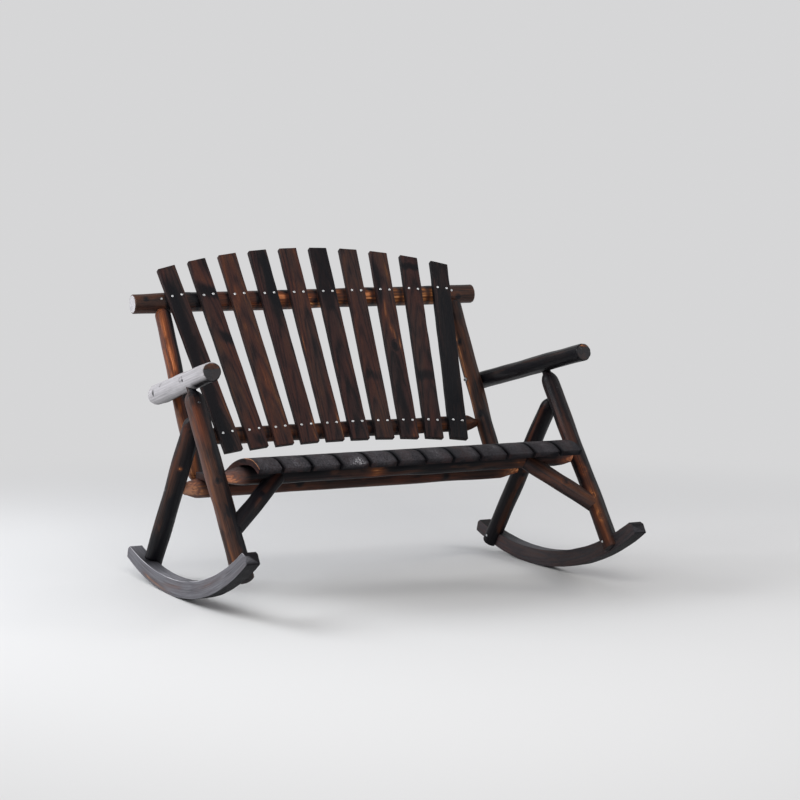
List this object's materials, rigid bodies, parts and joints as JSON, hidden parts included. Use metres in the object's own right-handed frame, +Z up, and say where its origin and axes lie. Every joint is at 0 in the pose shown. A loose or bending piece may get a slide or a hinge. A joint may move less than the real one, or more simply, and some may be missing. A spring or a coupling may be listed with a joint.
{
  "type": "two-seat log rocking bench",
  "caption": "Two-seat rocking bench of charred round logs with a fanned slat back, contoured slat seat, log arms and arc rockers.",
  "frame": {"origin": "middle of the bounding box on the floor plane; the rockers touch the floor at y = 0.0827 m", "axes": "+X towards the right-hand side of the picture along the seat, +Y towards the back of the bench, +Z up"},
  "size_m": [1.266, 1.0637, 0.9984],
  "materials": {
    "rocker_plank": "charred fir plank, satin varnish",
    "dark_log": "charred fir log, glossy varnish",
    "warm_log": "lightly charred fir log, glossy varnish",
    "back_slat": "charred fir board, satin varnish",
    "seat_slat": "charred fir board, worn matt varnish",
    "steel": "zinc plated"
  },
  "bodies": {
    "root": {"rocker_left": "rocker_plank", "rocker_right": "rocker_plank", "front_leg_left": "dark_log", "front_leg_right": "dark_log", "rear_leg_left": "dark_log", "rear_leg_right": "dark_log", "front_seat_rail": "dark_log", "rear_seat_rail": "warm_log", "brace_left": "dark_log", "brace_right": "dark_log", "back_post_left": "warm_log", "back_post_right": "warm_log", "lower_back_rail": "dark_log", "top_rail": "warm_log", "arm_left": "dark_log", "arm_right": "dark_log", "back_slat_01": "back_slat", "back_slat_02": "back_slat", "back_slat_03": "back_slat", "back_slat_04": "back_slat", "back_slat_05": "back_slat", "back_slat_06": "back_slat", "back_slat_07": "back_slat", "back_slat_08": "back_slat", "back_slat_09": "back_slat", "back_slat_10": "back_slat", "seat_slat_01": "seat_slat", "seat_slat_02": "seat_slat", "seat_slat_03": "seat_slat", "seat_slat_04": "seat_slat", "seat_slat_05": "seat_slat", "seat_slat_06": "seat_slat", "seat_slat_07": "seat_slat", "seat_slat_08": "seat_slat", "seat_slat_09": "seat_slat", "seat_slat_10": "seat_slat", "seat_slat_11": "seat_slat", "seat_slat_12": "seat_slat", "back_slat_screws": "steel", "seat_slat_screws": "steel", "rocker_screws": "steel", "leg_apex_screws": "steel", "rail_end_screws": "steel", "brace_screws": "steel", "post_screws": "steel", "arm_leg_screws": "steel", "arm_bolts": "steel", "arm_bolt_nuts": "steel"}
  },
  "joints": []
}
